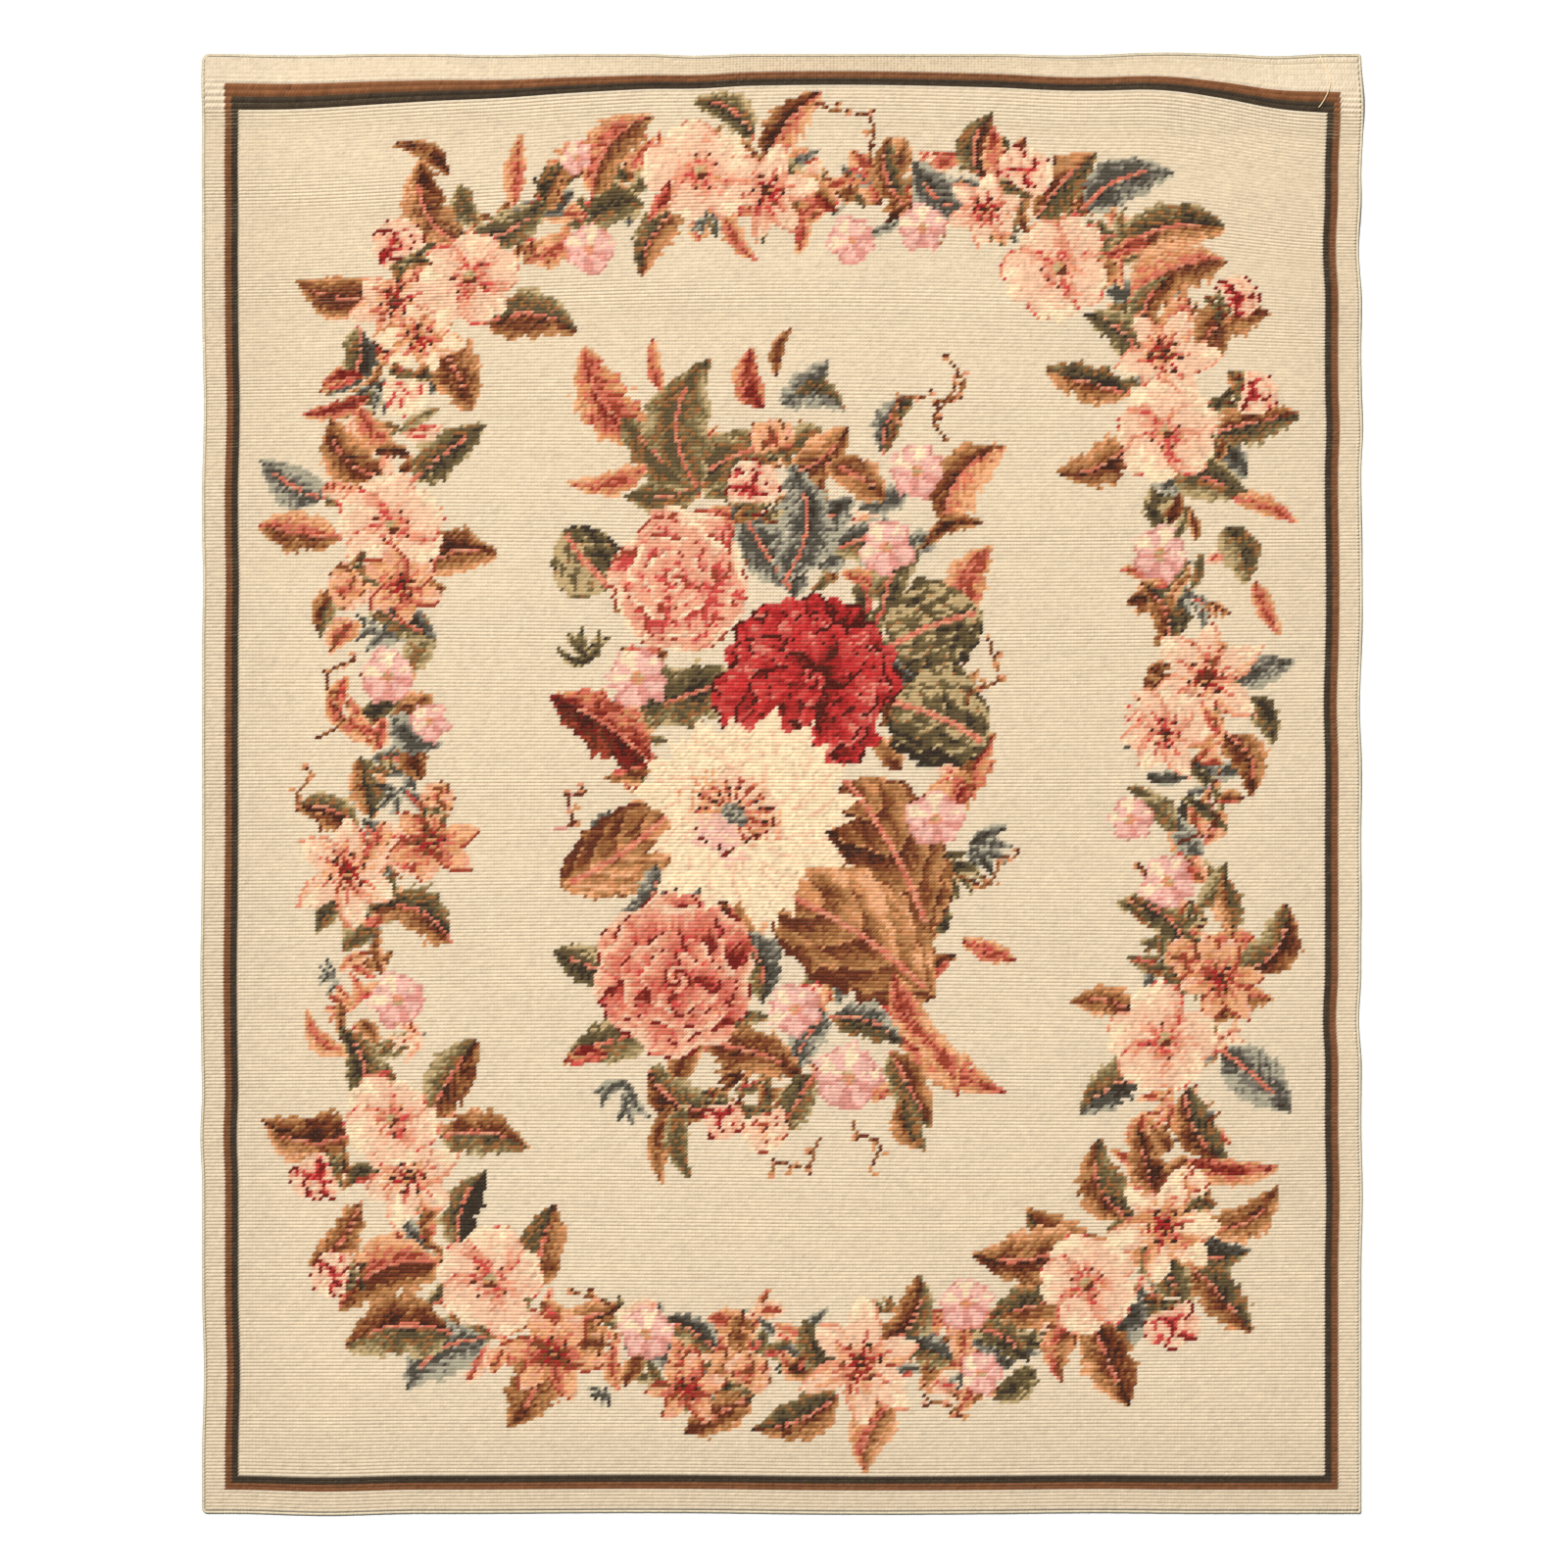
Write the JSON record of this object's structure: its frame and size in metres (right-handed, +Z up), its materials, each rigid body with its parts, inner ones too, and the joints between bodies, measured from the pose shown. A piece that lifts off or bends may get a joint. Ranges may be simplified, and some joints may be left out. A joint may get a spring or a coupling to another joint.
{
  "type": "needlepoint rug",
  "caption": "Rectangular needlepoint rug lying face up, with soft ridges from being rolled and an overcast yarn edging all round.",
  "frame": {"origin": "floor level below the middle of the rug", "axes": "+X across the rug to the right of the design, +Y along the rug to the top of the design, +Z up from the floor through the worked face"},
  "size_m": [1.224, 1.5393, 0.0124],
  "materials": {
    "wool_stitches": "dull wool yarn in small slanted stitches, cream ground with a floral design",
    "edging_yarn": "dull cream wool yarn wrapped over the cut edge",
    "canvas_back": "dull cotton canvas and the flat backs of the wool stitches"
  },
  "bodies": {
    "root": {"worked_panel": "wool_stitches", "edging_top": "edging_yarn", "edging_bottom": "edging_yarn", "edging_left": "edging_yarn", "edging_right": "edging_yarn"}
  },
  "joints": []
}
